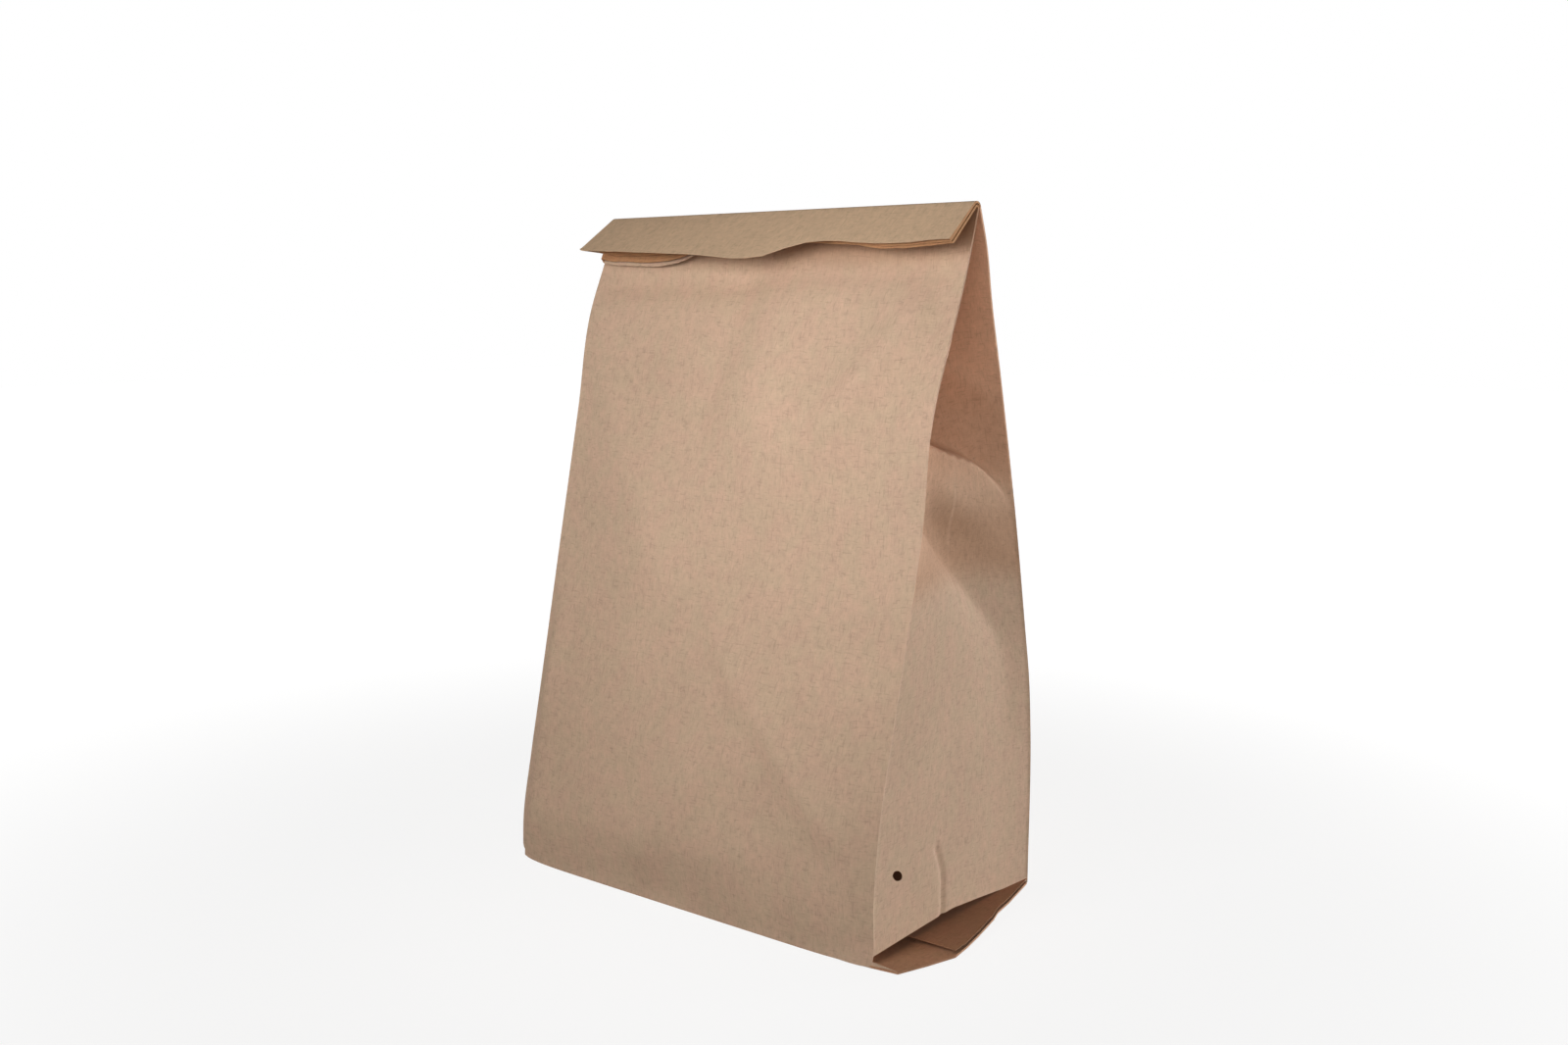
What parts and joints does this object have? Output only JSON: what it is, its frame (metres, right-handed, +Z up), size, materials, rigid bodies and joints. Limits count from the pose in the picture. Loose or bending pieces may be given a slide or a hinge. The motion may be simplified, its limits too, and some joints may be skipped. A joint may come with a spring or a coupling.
{
  "type": "brown paper lunch bag",
  "caption": "Standing brown kraft paper lunch bag with gusseted sides and a folded base, its wavy-cut mouth folded forward over the front panel.",
  "frame": {"origin": "middle of the base, on the floor plane that the bag stands on", "axes": "+Z up, +X towards the gusset whose base fold stands open, +Y towards the back panel, so the front panel and the folded flap face -Y"},
  "size_m": [0.143, 0.0799, 0.1896],
  "materials": {
    "kraft_paper": "uncoated brown kraft, matt, with fine fibres"
  },
  "bodies": {
    "root": {"paper_bag": "kraft_paper"}
  },
  "joints": []
}
